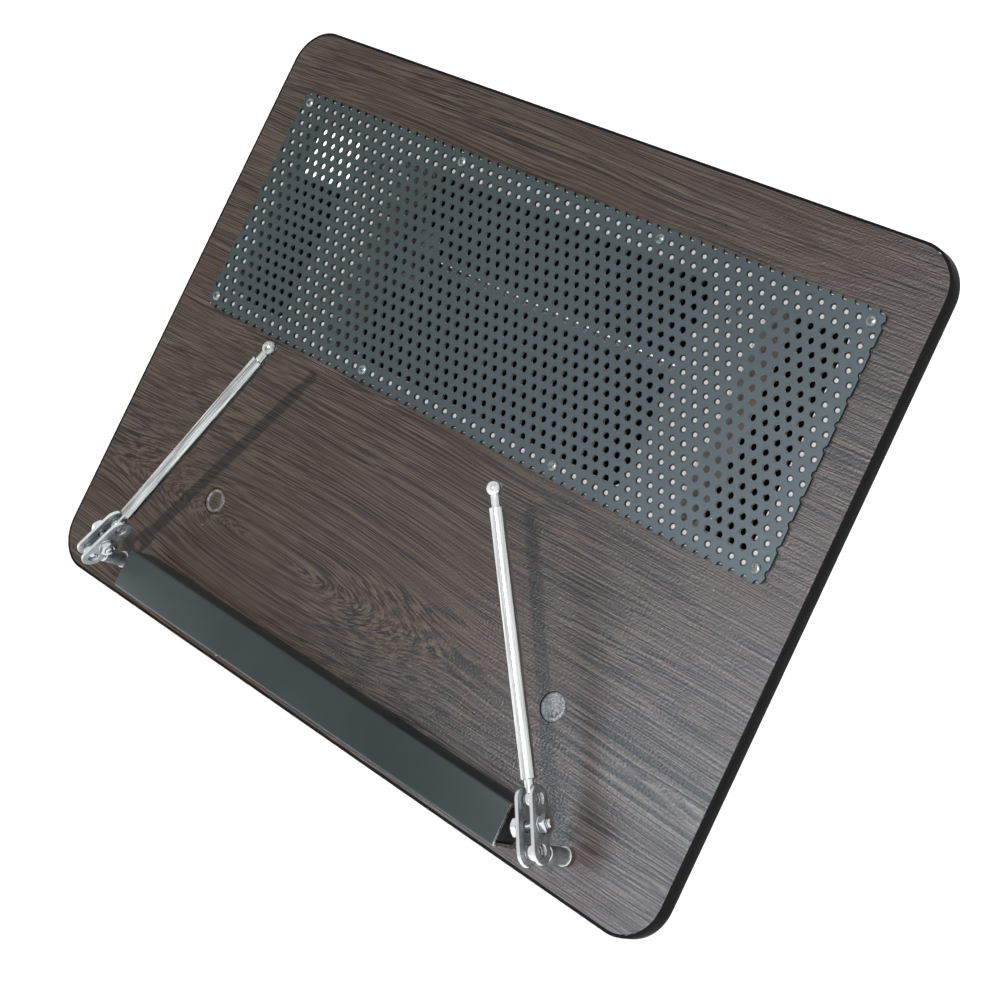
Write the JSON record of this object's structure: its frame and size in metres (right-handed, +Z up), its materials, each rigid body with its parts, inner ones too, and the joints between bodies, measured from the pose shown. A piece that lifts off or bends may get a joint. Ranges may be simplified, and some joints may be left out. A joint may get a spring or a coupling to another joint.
{
  "type": "book stand",
  "caption": "Reclined rectangular book stand: dark wood-grain board with a perforated metal panel, tube book ledge, two ball-jointed page arms and a folding wire prop behind.",
  "frame": {"origin": "on the table, in the middle of the whole stand's width and depth", "axes": "+X to the reader's right, +Y away from the reader, +Z up; the board's face leans back and looks towards -Y"},
  "size_m": [0.388, 0.2388, 0.2288],
  "materials": {
    "laminate": "satin dark brown wood-grain laminate",
    "edge_band": "black edge banding",
    "sheet_paint": "satin black coat on perforated steel",
    "ledge_paint": "satin dark grey-green coat on square tube",
    "plug_plastic": "black plastic end plug",
    "chrome": "polished chrome plating",
    "zinc": "bright zinc plating",
    "batten_wood": "dark stained wood",
    "rubber": "black rubber",
    "black_steel": "black coat on steel"
  },
  "bodies": {
    "stand": {"board": "laminate", "edge_band": "edge_band", "perforated_sheet": "sheet_paint", "sheet_screw_1": "zinc", "sheet_screw_2": "zinc", "sheet_screw_3": "zinc", "sheet_screw_4": "zinc", "sheet_screw_5": "zinc", "sheet_screw_6": "zinc", "sheet_screw_7": "zinc", "sheet_screw_8": "zinc", "ledge_tube": "ledge_paint", "ledge_plug_left": "plug_plastic", "ledge_plug_right": "plug_plastic", "ledge_screw_1": "zinc", "ledge_screw_2": "zinc", "ledge_screw_3": "zinc", "batten_left": "batten_wood", "lower_screw_left": "zinc", "upper_screw_left": "zinc", "screw_cap_left": "laminate", "foot_pad_left": "rubber", "prop_bracket_left": "black_steel", "bracket_screw_left_1": "zinc", "bracket_screw_left_2": "zinc", "batten_right": "batten_wood", "lower_screw_right": "zinc", "upper_screw_right": "zinc", "screw_cap_right": "laminate", "foot_pad_right": "rubber", "prop_bracket_right": "black_steel", "bracket_screw_right_1": "zinc", "bracket_screw_right_2": "zinc"},
    "left_post_body": {"left_post": "chrome", "left_post_nut": "zinc"},
    "left_clamp_body": {"left_plate_inner": "chrome", "left_plate_outer": "chrome", "left_bolt": "chrome", "left_head_washer": "chrome", "left_nut_washer": "chrome", "left_nut": "chrome"},
    "left_rod_body": {"left_rod": "chrome"},
    "right_post_body": {"right_post": "chrome", "right_post_nut": "zinc"},
    "right_clamp_body": {"right_plate_inner": "chrome", "right_plate_outer": "chrome", "right_bolt": "chrome", "right_head_washer": "chrome", "right_nut_washer": "chrome", "right_nut": "chrome"},
    "right_rod_body": {"right_rod": "chrome"},
    "prop_body": {"prop_wire": "black_steel", "pin_cap_left": "black_steel", "pin_cap_right": "black_steel", "foot_sleeve_left": "rubber", "foot_sleeve_right": "rubber"}
  },
  "joints": [
    {"name": "left_post_turn", "type": "hinge", "parent": "stand", "child": "left_post_body", "pos_m": [-0.1465, -0.113, 0.03539], "axis": [0, -0.766, 0.6428], "range_deg": [-69, 90]},
    {"name": "left_clamp_lift", "type": "hinge", "parent": "left_post_body", "child": "left_clamp_body", "pos_m": [-0.1465, -0.113, 0.03539], "axis": [0.8829, -0.3018, -0.3596], "range_deg": [0, 45]},
    {"name": "left_rod_lift", "type": "hinge", "parent": "left_clamp_body", "child": "left_rod_body", "pos_m": [-0.13749, -0.10211, 0.04837], "axis": [0.8829, -0.3018, -0.3596], "range_deg": [-6, 60]},
    {"name": "right_post_turn", "type": "hinge", "parent": "stand", "child": "right_post_body", "pos_m": [0.1465, -0.113, 0.03539], "axis": [0, -0.766, 0.6428], "range_deg": [-95, 65]},
    {"name": "right_clamp_lift", "type": "hinge", "parent": "right_post_body", "child": "right_clamp_body", "pos_m": [0.1465, -0.113, 0.03539], "axis": [0.8221, 0.3659, 0.4361], "range_deg": [0, 45]},
    {"name": "right_rod_lift", "type": "hinge", "parent": "right_clamp_body", "child": "right_rod_body", "pos_m": [0.13557, -0.10286, 0.04748], "axis": [0.8221, 0.3659, 0.4361], "range_deg": [-6, 60]},
    {"name": "prop_fold", "type": "hinge", "parent": "stand", "child": "prop_body", "pos_m": [0, 0.05228, 0.14368], "axis": [-1, 0, 0], "range_deg": [0, 63]}
  ]
}
